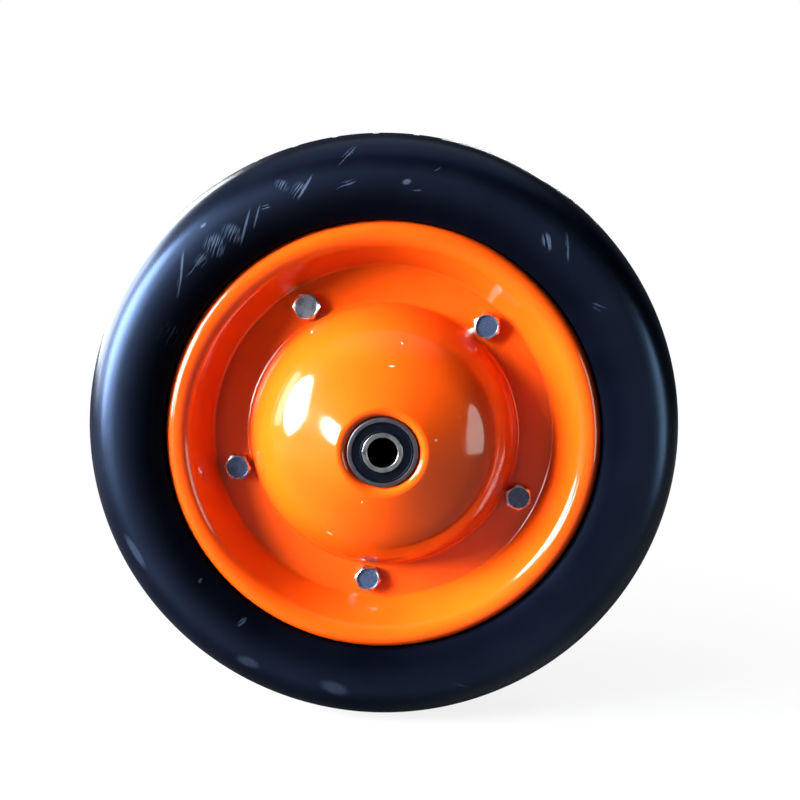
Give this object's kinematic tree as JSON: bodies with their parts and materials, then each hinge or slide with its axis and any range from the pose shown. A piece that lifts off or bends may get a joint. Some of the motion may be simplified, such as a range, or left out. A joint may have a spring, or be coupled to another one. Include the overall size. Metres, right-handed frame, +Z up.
{
  "type": "wheelbarrow wheel",
  "caption": "Wheelbarrow wheel: solid rubber tyre clamped between two pressed and painted steel rim halves, with sealed ball bearings for a round axle.",
  "frame": {"origin": "the wheel's centre, on the axle's axis, in the plane where the two rim halves meet", "axes": "+Y along the axle, pointing from the bolt-head side to the nut side; +Z up as the picture shows the wheel; +X to the right seen from the bolt heads"},
  "size_m": [0.35, 0.094, 0.35],
  "materials": {
    "tyre_rubber": "satin black rubber with a faint blue sheen, scuffed",
    "orange_paint": "glossy orange stove enamel on pressed steel",
    "zinc_plate": "bright zinc plate with a faint blue tint",
    "bearing_steel": "ground bearing steel",
    "cage_steel": "pressed steel sheet",
    "seal_rubber": "moulded nitrile rubber, smooth"
  },
  "bodies": {
    "axle_group": {"inner_ring_front": "bearing_steel", "inner_ring_back": "bearing_steel", "axle_spacer": "bearing_steel"},
    "wheel": {"tyre": "tyre_rubber", "rim_front": "orange_paint", "rim_back": "orange_paint", "bolts": "zinc_plate", "nuts": "zinc_plate", "lock_washers": "zinc_plate", "outer_ring_front": "bearing_steel", "outer_ring_back": "bearing_steel", "outer_seal_front": "seal_rubber", "inner_seal_front": "seal_rubber", "outer_seal_back": "seal_rubber", "inner_seal_back": "seal_rubber"},
    "front_ball_set": {"balls_front": "bearing_steel", "cage_outer_half_front": "cage_steel", "cage_inner_half_front": "cage_steel", "cage_rivets_front": "cage_steel"},
    "back_ball_set": {"balls_back": "bearing_steel", "cage_outer_half_back": "cage_steel", "cage_inner_half_back": "cage_steel", "cage_rivets_back": "cage_steel"}
  },
  "joints": [
    {"name": "wheel_spin", "type": "hinge", "parent": "axle_group", "child": "wheel", "pos_m": [0, 0, 0], "axis": [0, 1, 0], "continuous": true},
    {"name": "front_ball_orbit", "type": "hinge", "parent": "axle_group", "child": "front_ball_set", "pos_m": [0, -0.04, 0], "axis": [0, 1, 0], "continuous": true},
    {"name": "back_ball_orbit", "type": "hinge", "parent": "axle_group", "child": "back_ball_set", "pos_m": [0, 0.04, 0], "axis": [0, 1, 0], "continuous": true}
  ],
  "couplings": [
    {"joint": "front_ball_orbit", "follows": "wheel_spin", "ratio": 0.61837},
    {"joint": "back_ball_orbit", "follows": "wheel_spin", "ratio": 0.61837}
  ]
}
